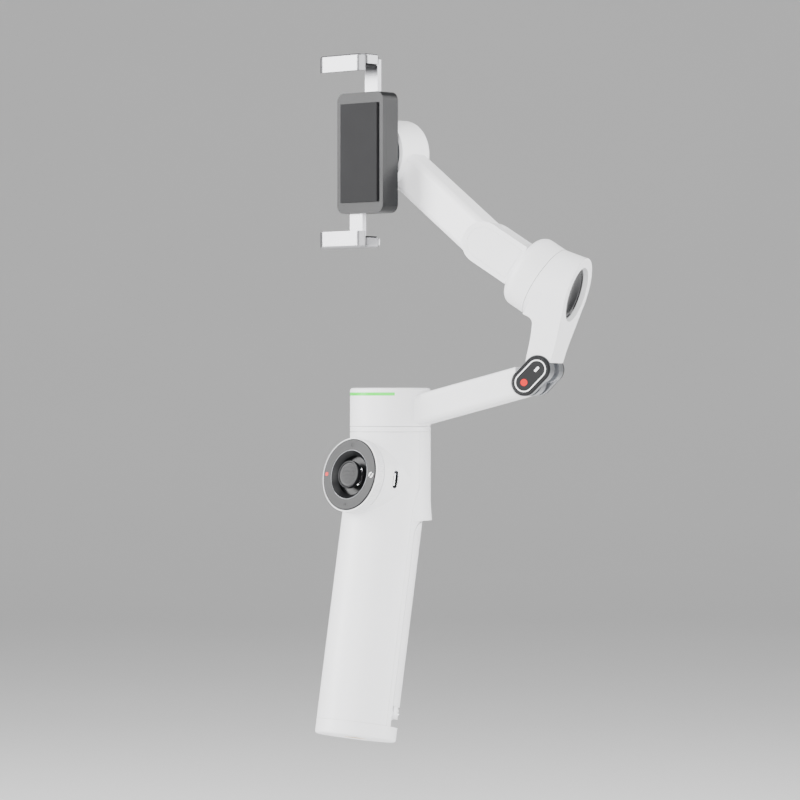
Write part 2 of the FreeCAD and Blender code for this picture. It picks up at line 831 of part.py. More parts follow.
def make_pan():
    floor = top_height + collar_height
    collar_bottom = top_height + seam
    collar = disc(grip_radius, pan_axis, up, collar_bottom, floor - 0.12)
    collar = collar.makeChamfer(0.35, [e for e in collar.Edges if e.Length > grip_radius * 5])
    hub_top = floor + motor_lift + stator_height + 1.5
    hub = disc(bearing_radius + hub_wall, pan_axis, up, floor - 1, hub_top)
    collar = joined(collar, hub)
    mast = section_radius(section_count) + press
    collar = collar.cut(disc(mast, pan_axis, up, 0, top_height + collar_height / 2 + press))
    collar = collar.cut(disc(shaft_radius, pan_axis, up, 0, 300))
    collar = collar.cut(disc(bearing_radius + press, pan_axis, up, floor + motor_lift, 300))
    save("pan_collar", collar)
    low = floor + motor_lift
    high = low + stator_height
    save("pan_stator", tube(stator_radius, bearing_radius + hub_wall + press, pan_axis, up, low, high))
    bore = shaft_radius + running
    save("pan_bearing", tube(bearing_radius, bore, pan_axis, up, high - bearing_width, high))
    inner_radius = grip_radius - cap_wall
    magnets = tube(inner_radius - press, inner_radius - magnet_thickness, pan_axis, up, low, high)
    save("pan_magnets", magnets)
    save("led_bar", led_sector(grip_radius - led_depth, 0))

    top = floor + cap_height
    cap = disc(grip_radius, pan_axis, up, floor, top)
    cap = rounded(cap, cap_round, lambda middle, edge: middle.z > top - 0.01)
    end = pin_low[0] - 3.2
    bar = lower_bar(grip_radius - 3.5, end, 0, -arm_half_depth, arm_half_depth)

    def long_edge(middle, edge):
        return abs(abs(middle.z) - arm_half_depth) < 0.01 and edge.Length > arm_height * 2

    bar = rounded(bar, arm_round, long_edge)
    arm = joined(cap, in_arm(bar))
    arm = arm.cut(disc(inner_radius, pan_axis, up, floor - 1, top - cap_wall))
    arm = arm.cut(led_sector(grip_radius - led_depth, press))
    arm = arm.cut(elbow_disc(0, link_radius + link_gap, -30, 30)).cut(low_tongue(press))
    cover_from = grip_radius + 4
    cover_to = end - 9
    inside = cover_thickness - arm_half_depth
    cover = in_arm(lower_bar(cover_from, cover_to, cover_margin, -arm_half_depth, inside))
    pocket = in_arm(lower_bar(cover_from - seam, cover_to + seam, cover_margin - seam, -30, inside + press))
    margin = cover_margin + channel_margin
    channel = in_arm(lower_bar(cover_from + 2, cover_to - 2, margin, -arm_half_depth, arm_half_depth - 5))
    arm = arm.cut(pocket).cut(channel)
    save("pan_arm", joined(arm, disc(shaft_radius, pan_axis, up, low + 1, top - cap_wall / 2)))
    save("pan_arm_cover", cover)
    save("lower_knuckle", low_tongue(0).cut(elbow_disc(0, elbow_pin_radius + running, -30, 30)))


# ---- Elbow link -------------------------------------------------------------------------------------


def on_link(shape, centre):
    """From an outline with y along the link, thick towards the front, to the row's axes at centre."""
    angle = radians(link_angle)
    along = arm_out * cos(angle) + up * sin(angle)
    return placed(shape, along.cross(arm_front), along, centre)


def link_plate(radius, low, high):
    """A pill-shaped plate around both elbow pins, thick between low and high towards the front."""
    middle = (arm_point(*pin_place(0)) + arm_point(*pin_place(1))) / 2
    return on_link(stadium(pin_spacing + 2 * radius, 2 * radius, low, high), middle)


def make_elbow():
    cheek_out = link_half_depth - plate_thickness
    cheek_in = cheek_out - cheek_thickness
    cheeks = [link_plate(link_radius, cheek_in, cheek_out), link_plate(link_radius, -cheek_out, -cheek_in)]
    for number in (0, 1):
        bore = elbow_disc(number, elbow_pin_radius + press, -30, 30)
        cheeks = [cheek.cut(bore) for cheek in cheeks]
    save("elbow_cheeks", *cheeks)
    pins = [elbow_disc(number, elbow_pin_radius, -cheek_out + 0.1, cheek_out - 0.1) for number in (0, 1)]
    save("elbow_pins", *pins)
    front = link_plate(link_radius, cheek_out + press, link_half_depth)
    outer_edges = []
    for edge in front.Edges:
        depth = (edge.valueAt(edge.FirstParameter) - pan_axis).dot(arm_front)
        if abs(depth - link_half_depth) < 0.01:
            outer_edges.append(edge)
    front = front.makeChamfer(plate_bevel, outer_edges)
    face = link_half_depth
    ring_space = link_plate(inlay_radius, face - inlay_depth, face)
    ring_space = ring_space.cut(link_plate(inlay_radius - inlay_width, 0, 30))
    dot = elbow_disc(0, dot_radius, face - inlay_depth, face)
    dash = on_link(stadium(dash_length, dash_width, face - inlay_depth, face), arm_point(*pin_place(1)))
    front = front.cut(ring_space).cut(dot).cut(dash)
    save("elbow_front_plate", front)
    save("elbow_inlays", ring_space, dash)
    save("elbow_record_dot", dot)
    back_plate = link_plate(link_radius, -link_half_depth, -cheek_out - press)
    save("elbow_back_plate", back_plate)


# ---- Upper arm and tilt motor -----------------------------------------------------------------------

back_up = arm_out * sin(radians(back_lean)) + up * cos(radians(back_lean))
back_normal = arm_out * cos(radians(back_lean)) - up * sin(radians(back_lean))
tilt_out = arm_out * cos(radians(tilt_drop)) - up * sin(radians(tilt_drop))
tilt_across = arm_out * sin(radians(tilt_drop)) + up * cos(radians(tilt_drop))
tilt_centre = arm_point(*tilt_seam)
disc_centre = arm_point(*back_foot) + back_up * back_disc_rise


def on_back(shape):
    """From the upper arm's back face (x forward, y up along it, z into the arm) to the row's axes."""
    return placed(shape, arm_front, back_up, arm_point(*back_foot))


def circle(radius, centre, axis):
    return Part.Wire([Part.Circle(centre, axis, radius).toShape()])


def high_fork(grow):
    """The upper arm's steel fork: two prongs around the tongue, joined inside the arm."""
    inner = tongue_half_depth + fork_gap - grow
    outer = link_half_depth - plate_thickness - cheek_thickness - cheek_gap + grow
    pieces = []
    for low, high in ((inner, outer), (-outer, -inner)):
        pieces.append(elbow_disc(1, link_radius, low, high))
        pieces.append(knuckle_neck(1, fork_angle, neck_half_width + grow, low, high))
    pieces.append(knuckle_neck(1, fork_angle, neck_half_width + grow, -outer, outer, link_radius + 2.4))
    return joined(pieces[0], *pieces[1:])


def make_upper_arm():
    foot = neck_foot_height
    back_foot_u = back_foot[0] - (back_foot[1] - foot) * tan(radians(back_lean))
    top = back_disc_rise + motor_radius - 6
    back_top_u = back_foot[0] + top * sin(radians(back_lean))
    back_top_z = back_foot[1] + top * cos(radians(back_lean))
    side = [
        (inner_foot[0] - 1.0, foot),
        (back_foot_u, foot),
        (back_top_u, back_top_z),
        (tilt_seam[0] + 4, tilt_seam[1]),
        (tilt_seam[0] - 6.5, tilt_seam[1] - 14.6),
        (inner_bend[0] + 0.8, inner_bend[1] + 4.6, 3.0),
        (inner_bend[0], inner_bend[1], 20),
        (inner_foot[0], inner_foot[1], 20),
    ]
    profile = in_arm(prism(side, -motor_radius, motor_radius))
    half = arm_half_depth
    wide = motor_radius - 0.4
    flare_low = 3.0
    flare_high = back_disc_rise - 3
    teardrop = [
        (-half, foot - back_foot[1] - 4),
        (half, foot - back_foot[1] - 4),
        (half, flare_low, 22),
        (wide, flare_high),
        (wide, back_disc_rise + 2),
        (-wide, back_disc_rise + 2),
        (-wide, flare_high),
        (-half, flare_low, 22),
    ]
    neck = profile.common(on_back(prism(teardrop, -1, 60)))
    seam_circle = circle(motor_radius, tilt_centre + tilt_out * 0.12, tilt_out)
    back_circle = circle(motor_radius, disc_centre, back_normal)
    housing = Part.makeLoft([seam_circle, back_circle], True, True)
    arm = neck.fuse(housing)
    arm = arm.cut(on_back(box(-60, 60, -60, 80, -20, 0)))
    recess = disc(disc_recess_radius, disc_centre, back_normal, -disc_recess_depth, 5)
    cavity = disc(motor_radius - cup_wall, tilt_centre, tilt_out, -1, tilt_stator_length)
    arm = arm.cut(recess).cut(cavity)
    arm = arm.cut(link_plate(link_radius + link_gap, -30, 30)).cut(high_fork(press))
    save("upper_arm", arm)
    rest = disc_recess_depth - press
    save("tilt_cap_disc", disc(disc_radius, disc_centre, back_normal, -rest, disc_thickness - rest))
    save("upper_knuckle", high_fork(0).cut(elbow_disc(1, elbow_pin_radius + running, -30, 30)))
    low = 3.5 - rotor_length
    high = tilt_stator_length - press
    save("tilt_stator", tube(tilt_stator_radius, bearing_radius + press, tilt_centre, tilt_out, low, high))
    bore = shaft_radius + running
    save("tilt_bearing", tube(bearing_radius, bore, tilt_centre, tilt_out, 0, bearing_width))


# ---- Tilt arm and roll motor ------------------------------------------------------------------------

roll_centre = Vector(phone_centre[0], 0, phone_centre[2])


def crank_point():
    return arm_point(*crank)


def crank_plate(half_width, low, high, from_rotor):
    """The first stretch of the tilt arm, along the tilt axis from the rotor to a round end at the crank."""
    corner = crank_point()
    length = (tilt_centre - corner).dot(tilt_out) - from_rotor
    bar = placed(box(0, length, -half_width, half_width, low, high), tilt_out, tilt_across, corner)
    return joined(bar, disc(half_width, corner, arm_front, low, high))


def make_tilt_arm():
    rotor = [
        (0, -rotor_length),
        (motor_radius, -rotor_length, rotor_round),
        (motor_radius, -0.12),
        (motor_radius - cup_wall, -0.12),
        (motor_radius - cup_wall, cup_wall - rotor_length),
        (0, cup_wall - rotor_length),
    ]
    cup = turned(rotor, tilt_centre, tilt_out)
    crank_end = crank_plate(crank_half_width, -crank_half_depth, crank_half_depth, rotor_length - 2)
    corner = crank_point()
    run = Vector(phone_centre[0] - corner.x, 0, phone_centre[2] - corner.z)
    length = hypot(run.x, run.z)
    along = run.normalize()
    beam = box(0, length, -beam_half_width, beam_half_width, 0, beam_depth)
    beam = rounded(beam, beam_round, lambda middle, edge: edge.Length > length - 1)
    start = Vector(corner.x, beam_front, corner.z)
    beam = placed(beam, along, back.cross(along), start)
    round_start = Vector(corner.x, 0, corner.z)
    round_end = disc(beam_half_width, round_start, back, beam_front + 0.6, beam_front + beam_depth - 0.6)
    housing = disc(roll_motor_radius, roll_centre, back, roll_motor_front, roll_motor_back)
    housing = rounded(housing, housing_round, lambda middle, edge: middle.y > roll_motor_back - 0.01)
    arm = joined(crank_end, beam, round_end, housing)
    arm = arm.cut(disc(motor_radius, tilt_centre, tilt_out, -rotor_length, 60))
    motor_space = roll_motor_back - cup_wall
    arm = arm.cut(disc(roll_motor_radius - cup_wall, roll_centre, back, roll_motor_front - 1, motor_space))
    face = crank_half_depth
    half = crank_half_width - crank_cover_margin
    from_rotor = rotor_length + 1.5
    save("tilt_arm_cover", crank_plate(half, face - crank_cover_thickness, face, from_rotor))
    pocket_floor = face - crank_cover_thickness - press
    save("tilt_arm", arm.cut(crank_plate(half + seam, pocket_floor, face + 9, from_rotor - seam)))
    shaft = disc(shaft_radius, tilt_centre, tilt_out, 1 - rotor_length, bearing_width + 1)
    save("tilt_rotor", joined(cup, shaft))
    bore = roll_bearing_radius + press
    stator_front = roll_motor_front + 2.5
    save("roll_stator", tube(roll_stator_radius, bore, roll_centre, back, stator_front, motor_space - press))
    low = roll_bearing_front
    bore = roll_shaft_radius + running
    save("roll_bearing", tube(roll_bearing_radius, bore, roll_centre, back, low, low + bearing_width))


# ---- Phone clamp ------------------------------------------------------------------------------------


def clamp_box(x0, x1, y0, y1, z0, z1):
    """A box measured from the middle of the phone, with y still the row's."""
    return box(phone_centre[0] + x0, phone_centre[0] + x1, y0, y1, phone_centre[2] + z0, phone_centre[2] + z1)


def half_turn(shape):
    """The lower jaw's pieces are the upper jaw's turned half round the roll axis."""
    turned_shape = shape.copy()
    turned_shape.rotate(roll_centre, back, 180)
    return turned_shape


def jaw_shelf():
    """Height above the phone's middle at which the jaw's own face lies, behind its pad."""
    return jaw_opening / 2 + jaw_pad_thickness


def tongue_bar(grow, extra):
    """The jaw's flat tongue, or with grow and extra the track that it slides in."""
    front = cover_back - press
    low = jaw_shelf() - tongue_length - extra
    high = jaw_shelf() + 1.5 + extra
    near = tongue_gap - grow
    far = tongue_gap + tongue_width + grow
    return clamp_box(near, far, front, front + tongue_thickness + grow, low, high)


def spring_middle():
    """The spring's place across the clamp from the phone's middle, and its depth."""
    return tongue_gap + tongue_width / 2, cover_back + tongue_thickness + spring_radius + 0.5


def spring_box(half_width, depth, low, high):
    x, y = spring_middle()
    return clamp_box(x - half_width, x + half_width, cover_back, y + depth, low, high)


def plate_block(front, rear):
    """A block of the clamp's outline between two depths, with its four long edges rounded."""
    w = body_half_width
    h = body_half_height
    block = clamp_box(-w, w, front, rear, -h, h)

    def corner(middle, edge):
        beside = abs(abs(middle.x - phone_centre[0]) - w) < 0.01
        return beside and abs(abs(middle.z - phone_centre[2]) - h) < 0.01

    return rounded(block, body_round, corner)


def make_clamp():
    w = body_half_width
    h = body_half_height
    shelf = jaw_shelf()
    lug_low = shelf - tongue_length
    track = tongue_bar(running, jaw_close + stop_length)
    channel_half = spring_radius + spring_gap
    channel_top = lug_low + lug_height + stop_length + jaw_open + 0.5
    channel = spring_box(channel_half, channel_half, 2 - h, channel_top)
    shell = plate_block(cover_back + press, body_back)
    for space in (track, channel, half_turn(track), half_turn(channel)):
        shell = shell.cut(space)
    save("clamp_body", shell)
    save("clamp_front_cover", plate_block(body_front, cover_back).cut(track).cut(half_turn(track)))
    pad_back = body_front - press
    pad = clamp_box(pad_margin - w, w - pad_margin, body_front - pad_thickness, pad_back, 5 - h, h - 5)
    save("clamp_pad", pad)
    x, y = spring_middle()
    middle = Vector(phone_centre[0] + x, y, phone_centre[2])
    coil = tube(spring_radius, spring_bore, middle, up, 2.3 - h, lug_low - 0.1)
    save("upper_jaw_spring", coil)
    save("lower_jaw_spring", half_turn(coil))

    radius = roll_motor_radius - cup_wall - skirt_gap
    front = roll_motor_front - 1
    hub = disc(radius, roll_centre, back, body_back + press, roll_motor_front - 0.3)
    shaft = disc(roll_shaft_radius, roll_centre, back, front, roll_bearing_front + bearing_width + 1)
    skirt = tube(radius, radius - skirt_wall, roll_centre, back, front, roll_motor_back - 6)
    save("roll_rotor", joined(hub, skirt, shaft))

    half = jaw_half_width
    plan = rectangle(-half, half, jaw_front, jaw_back, 1.5)
    for i in (0, 1):
        plan[i] = (plan[i][0], plan[i][1], jaw_corner)
    top = shelf + jaw_thickness
    jaw = prism(plan, shelf - jaw_pad_thickness - lip_overlap, top)
    jaw = rounded(jaw, jaw_round, lambda middle, edge: middle.z > top - 0.01)
    jaw = jaw.cut(box(-40, 40, jaw_front + lip_thickness, 60, 0, shelf))
    jaw.translate(Vector(phone_centre[0], 0, phone_centre[2]))
    web_back = cover_back + tongue_thickness - press
    web = clamp_box(-web_half_width, tongue_gap + tongue_width, jaw_back - 1, web_back, shelf, top - web_drop)
    lug = spring_box(spring_radius - lug_inset, spring_radius - lug_inset, lug_low, lug_low + lug_height)
    jaw = joined(jaw, web, tongue_bar(0, 0), lug)
    save("upper_jaw", jaw)
    save("lower_jaw", half_turn(jaw))
    edge = half - jaw_pad_margin
    pad_front = jaw_front + lip_thickness + press
    strip = clamp_box(-edge, edge, pad_front, jaw_back, jaw_opening / 2, shelf - press)
    save("upper_jaw_pad", strip)
    save("lower_jaw_pad", half_turn(strip))


make_grip()
make_legs()
make_pod()
make_trigger()
make_hinge_pins()
make_rod()
make_pan()
make_elbow()
make_upper_arm()
make_tilt_arm()
make_clamp()
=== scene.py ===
import bpy
import bmesh
import json
import math
from mathutils import Matrix, Vector


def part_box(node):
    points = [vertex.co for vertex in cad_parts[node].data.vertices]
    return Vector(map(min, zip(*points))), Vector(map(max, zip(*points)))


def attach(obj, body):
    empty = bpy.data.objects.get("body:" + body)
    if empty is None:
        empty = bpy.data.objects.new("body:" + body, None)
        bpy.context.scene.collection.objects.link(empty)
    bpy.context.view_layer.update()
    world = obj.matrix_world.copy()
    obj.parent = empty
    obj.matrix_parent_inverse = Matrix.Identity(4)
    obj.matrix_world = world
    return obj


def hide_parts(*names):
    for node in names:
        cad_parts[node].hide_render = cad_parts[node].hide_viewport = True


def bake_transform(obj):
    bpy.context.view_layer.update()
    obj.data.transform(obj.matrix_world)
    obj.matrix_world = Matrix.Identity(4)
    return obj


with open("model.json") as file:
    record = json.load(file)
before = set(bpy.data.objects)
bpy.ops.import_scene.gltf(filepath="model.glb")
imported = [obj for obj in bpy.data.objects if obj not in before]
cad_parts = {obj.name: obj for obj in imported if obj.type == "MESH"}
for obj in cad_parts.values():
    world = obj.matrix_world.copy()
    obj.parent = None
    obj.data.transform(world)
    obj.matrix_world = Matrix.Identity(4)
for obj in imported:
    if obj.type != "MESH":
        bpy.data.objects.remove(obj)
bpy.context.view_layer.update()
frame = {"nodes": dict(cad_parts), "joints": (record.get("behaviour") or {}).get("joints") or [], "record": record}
mm = 0.001
joints = {joint["name"]: joint for joint in frame["joints"]}
print("frame loaded:", len(frame["nodes"]), "nodes")


class Value:  # wraps a socket, so that an expression on values adds its own Math nodes
    def __init__(self, finish, socket):
        self.finish = finish
        self.socket = socket

    def math(self, operation, first, second):
        node = self.finish.node("ShaderNodeMath", {"operation": operation}, {0: first, 1: second})
        return Value(self.finish, node.outputs[0])

    def __add__(self, other):
        return self.math("ADD", self, other)

    def __radd__(self, other):
        return self.math("ADD", other, self)

    def __sub__(self, other):
        return self.math("SUBTRACT", self, other)

    def __rsub__(self, other):
        return self.math("SUBTRACT", other, self)

    def __mul__(self, other):
        return self.math("MULTIPLY", self, other)

    def __rmul__(self, other):
        return self.math("MULTIPLY", other, self)


class Finish:  # one material: a Principled shader and what feeds it
    def __init__(self, name, **constants):
        self.material = bpy.data.materials.new(name)
        self.material.use_nodes = True
        self.tree = self.material.node_tree
        self.shader = self.tree.nodes["Principled BSDF"]
        self.coords = self.node("ShaderNodeTexCoord").outputs["Object"]
        for label, value in constants.items():
            self.shader.inputs[label.replace("_", " ")].default_value = value

    def node(self, kind, settings=None, inputs=None):
        made = self.tree.nodes.new(kind)
        for label, value in (settings or {}).items():
            setattr(made, label, value)
        for label, value in (inputs or {}).items():
            if isinstance(value, Value):
                value = value.socket
            if isinstance(value, bpy.types.NodeSocket):
                self.tree.links.new(value, made.inputs[label])
            else:
                made.inputs[label].default_value = value
        return made

    def feed(self, label, source):
        socket = source.socket if isinstance(source, Value) else source
        self.tree.links.new(socket, self.shader.inputs[label])

    def stretched(self, scale):
        return self.node("ShaderNodeMapping", None, {"Vector": self.coords, "Scale": scale}).outputs[0]

    def noise(self, scale, detail, vector=None):
        node = self.node("ShaderNodeTexNoise", None,
                         {"Vector": vector or self.coords, "Scale": scale, "Detail": detail})
        return Value(self, node.outputs[0])

    def dots(self, scale):
        node = self.node("ShaderNodeTexVoronoi", None, {"Vector": self.coords, "Scale": scale})
        return Value(self, node.outputs["Distance"])

    def blend(self, share, first, second):
        node = self.node("ShaderNodeMix", {"data_type": "RGBA"}, {0: share, 6: (*first, 1), 7: (*second, 1)})
        return node.outputs[2]

    def bump(self, height, depth, strength):
        node = self.node("ShaderNodeBump", None,
                         {"Height": height, "Distance": depth, "Strength": strength})
        self.feed("Normal", node.outputs[0])


moulded = {"grain": 2600, "cloud": 45, "grainShare": 0.4, "depth": 0.02 * mm, "strength": 0.35}


def mouldedFinish(name, light, dark, roughness, spread, coat=0.0, shine=0.5):
    finish = Finish(name, Coat_Weight=coat, Coat_Roughness=0.25, Specular_IOR_Level=shine)
    grain = finish.noise(moulded["grain"], 3)
    cloud = finish.noise(moulded["cloud"], 4)
    share = moulded["grainShare"]
    finish.feed("Base Color", finish.blend(cloud * (1 - share) + grain * share, dark, light))
    lowest = roughness - spread * 0.75  # both noises average a half
    finish.feed("Roughness", cloud * spread + grain * spread * 0.5 + lowest)
    finish.bump(grain, moulded["depth"], moulded["strength"])
    return finish.material


metal = {"cloud": 80, "lineShare": 0.7, "lineRough": 0.12, "cloudRough": 0.06,
         "depth": 0.01 * mm, "strength": 0.4}


def metalFinish(name, light, dark, roughness, stretch, scale):  # an even stretch gives a grain, not lines
    finish = Finish(name, Metallic=1.0)
    lines = finish.noise(scale, 4, finish.stretched(stretch))
    cloud = finish.noise(metal["cloud"], 3)
    share = metal["lineShare"]
    finish.feed("Base Color", finish.blend(lines * share + cloud * (1 - share), dark, light))
    lowest = roughness - (metal["lineRough"] + metal["cloudRough"]) / 2
    finish.feed("Roughness", lines * metal["lineRough"] + cloud * metal["cloudRough"] + lowest)
    finish.bump(lines, metal["depth"], metal["strength"])
    return finish.material


rubber = {"pores": 1500, "cloud": 120, "rough": 0.72, "spread": 0.15, "depth": 0.03 * mm, "strength": 0.5}


def rubberFinish(name, light, dark):
    finish = Finish(name, Specular_IOR_Level=0.35)
    cloud = finish.noise(rubber["cloud"], 4)
    finish.feed("Base Color", finish.blend(cloud, dark, light))
    finish.feed("Roughness", cloud * rubber["spread"] + rubber["rough"])
    finish.bump(finish.dots(rubber["pores"]), rubber["depth"], rubber["strength"])
    return finish.material


def lightFinish(name, core, edge, power):
    finish = Finish(name, Emission_Strength=power, Roughness=0.3)
    glow = finish.noise(220, 2)
    shade = finish.blend(glow, edge, core)
    finish.feed("Base Color", shade)
    finish.feed("Emission Color", shade)
    return finish.material


def windingFinish(name, wire, gapShadeColour):
    finish = Finish(name, Metallic=0.8)
    rows = finish.node("ShaderNodeTexWave", {"wave_type": "RINGS", "rings_direction": "Z"},
                       {"Vector": finish.coords, "Scale": 900.0, "Distortion": 0.6})
    strand = Value(finish, rows.outputs[1])
    # the valleys between the strands are blended towards the gap colour: painted shade between the wires
    finish.feed("Base Color", finish.blend(strand, gapShadeColour, wire))
    finish.feed("Roughness", 0.5 - strand * 0.2)  # the tops of the wires are smoother
    finish.bump(strand, 0.05 * mm, 0.6)
    return finish.material


def boardFinish(name, mask, trace):
    finish = Finish(name)
    tracks = finish.node("ShaderNodeTexBrick", None, {"Vector": finish.coords, "Scale": 260.0,
                                                      "Color1": (*mask, 1), "Color2": (*mask, 1),
                                                      "Mortar": (*trace, 1), "Mortar Size": 0.04})
    finish.feed("Base Color", tracks.outputs[0])
    finish.feed("Roughness", finish.noise(300, 3) * 0.2 + 0.35)
    return finish.material


def sleeveFinish(name, light, dark):
    finish = Finish(name, Coat_Weight=0.5, Coat_Roughness=0.1)
    wrinkle = finish.noise(90, 5, finish.stretched((1, 1, 0.3)))
    finish.feed("Base Color", finish.blend(wrinkle, dark, light))
    finish.feed("Roughness", wrinkle * 0.2 + 0.25)
    finish.bump(wrinkle, 0.2 * mm, 0.3)
    return finish.material


finishes = {
    "white_plastic": mouldedFinish("whitePlastic", (0.86, 0.86, 0.87), (0.81, 0.81, 0.825), 0.42, 0.08),
    "black_plastic": mouldedFinish("blackPlastic", (0.008, 0.0085, 0.0095), (0.004, 0.004, 0.005), 0.36, 0.1,
                                   shine=0.28),
    "black_gloss": mouldedFinish("blackGloss", (0.005, 0.005, 0.006), (0.002, 0.002, 0.003), 0.2, 0.06,
                                 coat=0.15, shine=0.3),
    "silver_metal": metalFinish("satinSilver", (0.42, 0.43, 0.45), (0.3, 0.31, 0.33), 0.34, (1, 1, 1), 2400),
    "jaw_metal": metalFinish("jawMetal", (0.34, 0.34, 0.35), (0.22, 0.22, 0.23), 0.3, (0.03, 1, 1), 1800),
    "bright_steel": metalFinish("brightSteel", (0.75, 0.75, 0.77), (0.58, 0.58, 0.6), 0.22,
                                (1, 1, 0.1), 1500),
    "rod_metal": metalFinish("rodMetal", (0.62, 0.63, 0.65), (0.45, 0.46, 0.48), 0.25, (1, 1, 0.02), 1600),
    "rubber": rubberFinish("padRubber", (0.012, 0.012, 0.013), (0.006, 0.006, 0.007)),
    "brass": metalFinish("machinedBrass", (0.8, 0.6, 0.28), (0.6, 0.42, 0.18), 0.28, (1, 1, 0.05), 1500),
    "green_light": lightFinish("greenLight", (0.01, 0.62, 0.03), (0.005, 0.5, 0.02), 1.1),
    "red_paint": mouldedFinish("redPaint", (0.62, 0.008, 0.008), (0.5, 0.005, 0.005), 0.4, 0.05, shine=0.2),
    "white_paint": mouldedFinish("whitePaint", (0.9, 0.9, 0.9), (0.82, 0.82, 0.83), 0.35, 0.05),
    "cell_wrap": sleeveFinish("cellSleeve", (0.08, 0.22, 0.5), (0.04, 0.14, 0.36)),
    "board": boardFinish("solderMask", (0.01, 0.13, 0.05), (0.03, 0.24, 0.1)),
    # the second colour is painted shade for the grooves between the wires
    "copper": windingFinish("copperWinding", (0.75, 0.35, 0.14), (0.2, 0.08, 0.03)),
    "magnet": metalFinish("platedMagnet", (0.45, 0.45, 0.47), (0.3, 0.3, 0.32), 0.3, (1, 1, 1), 900),
}
for part in frame["record"]["subparts"]:
    node = frame["nodes"][part["node"]]
    node.data.materials.clear()
    node.data.materials.append(finishes[part["material_slot"]])
print("finishes made:", len(finishes))


def startPiece():
    if bpy.context.object and bpy.context.object.mode == "EDIT":
        bpy.ops.object.mode_set(mode="OBJECT")
    bpy.ops.object.select_all(action="DESELECT")


def editAll():  # into edit mode with every vertex selected
    bpy.ops.object.mode_set(mode="EDIT")
    bpy.ops.mesh.select_mode(type="VERT")
    bpy.ops.mesh.select_all(action="SELECT")


def namePiece(name):
    piece = bpy.context.object
    piece.name = name
    piece.data.name = name
    return piece


def selectFaces(piece, test):  # in edit mode, the faces whose centre and normal pass the test
    bpy.ops.mesh.select_all(action="DESELECT")
    bpy.ops.mesh.select_mode(type="FACE")
    mesh = bmesh.from_edit_mesh(piece.data)
    for face in mesh.faces:
        face.select = test(face.calc_center_median(), face.normal)
    mesh.select_flush_mode()
    bmesh.update_edit_mesh(piece.data)


def place(piece, xAxis, yAxis, origin):  # carries a piece's mesh from its own axes onto the given ones
    zAxis = xAxis.cross(yAxis)
    turn = Matrix((xAxis, yAxis, zAxis)).transposed().to_4x4()
    startPiece()
    piece.matrix_world = Matrix.Translation(origin) @ turn @ piece.matrix_world
    piece.select_set(True)
    bpy.context.view_layer.objects.active = piece
    bpy.ops.object.transform_apply(location=True, rotation=True, scale=True)


def smooth(piece, angle):
    startPiece()
    piece.select_set(True)
    bpy.context.view_layer.objects.active = piece
    bpy.ops.object.shade_smooth_by_angle(angle=math.radians(angle))


def joinPieces(name, pieces):
    startPiece()
    for piece in pieces:
        piece.select_set(True)
    bpy.context.view_layer.objects.active = pieces[0]
    bpy.ops.object.join()
    return namePiece(name)


weld = mm * 0.001


def lathe(name, profile, steps, closed=True):  # spins a (radius, height) profile about z
    startPiece()
    bpy.ops.mesh.primitive_plane_add(size=mm)
    piece = namePiece(name)
    editAll()
    bpy.ops.mesh.merge(type="CENTER")
    bpy.ops.transform.translate(value=(profile[0][0] * mm, 0, profile[0][1] * mm))
    for before, after in zip(profile, profile[1:] + (profile[:1] if closed else [])):
        move = ((after[0] - before[0]) * mm, 0, (after[1] - before[1]) * mm)
        bpy.ops.mesh.extrude_region_move(TRANSFORM_OT_translate={"value": move})
    bpy.ops.mesh.select_all(action="SELECT")
    bpy.ops.mesh.remove_doubles(threshold=weld)
    bpy.ops.mesh.select_all(action="SELECT")
    bpy.ops.mesh.spin(steps=steps, angle=math.tau, center=(0, 0, 0), axis=(0, 0, 1))
    bpy.ops.mesh.select_all(action="SELECT")
    bpy.ops.mesh.remove_doubles(threshold=weld)
    bpy.ops.mesh.normals_make_consistent(inside=False)
    bpy.ops.object.mode_set(mode="OBJECT")
    return piece


def bevelled(piece, width, segments=2, angle=40):
    startPiece()
    piece.select_set(True)
    bpy.context.view_layer.objects.active = piece
    modifier = piece.modifiers.new("edges", "BEVEL")
    modifier.width = width * mm
    modifier.segments = segments
    modifier.limit_method = "ANGLE"
    modifier.angle_limit = math.radians(angle)
    bpy.ops.object.modifier_apply(modifier=modifier.name)


def finishPiece(piece, body, slotName, replaced=(), angle=35):
    smooth(piece, angle)
    piece.data.materials.clear()
    piece.data.materials.append(finishes[slotName])
    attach(piece, body)
    if replaced:
        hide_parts(*replaced)


podOut = Vector(joints["control_wheel_spin"]["axis"]).normalized()  # the pod's own z, out of its face
podCentre = Vector(joints["control_wheel_spin"]["pos_m"])
right = Vector((1, 0, 0))
podUp = podOut.cross(right)  # the pod's own y, along the grip


def onPod(piece):
    place(piece, right, podUp, podCentre)


wheel = {"radius": 16.9, "ridge": 0.5, "ridges": 96, "back": 19.05, "front": 24.55, "bore": 12.55,
         "rim": 16.25, "floor": 23.35, "edge": 0.5, "ridgeWidth": 1.3, "ridgeInset": 0.1}


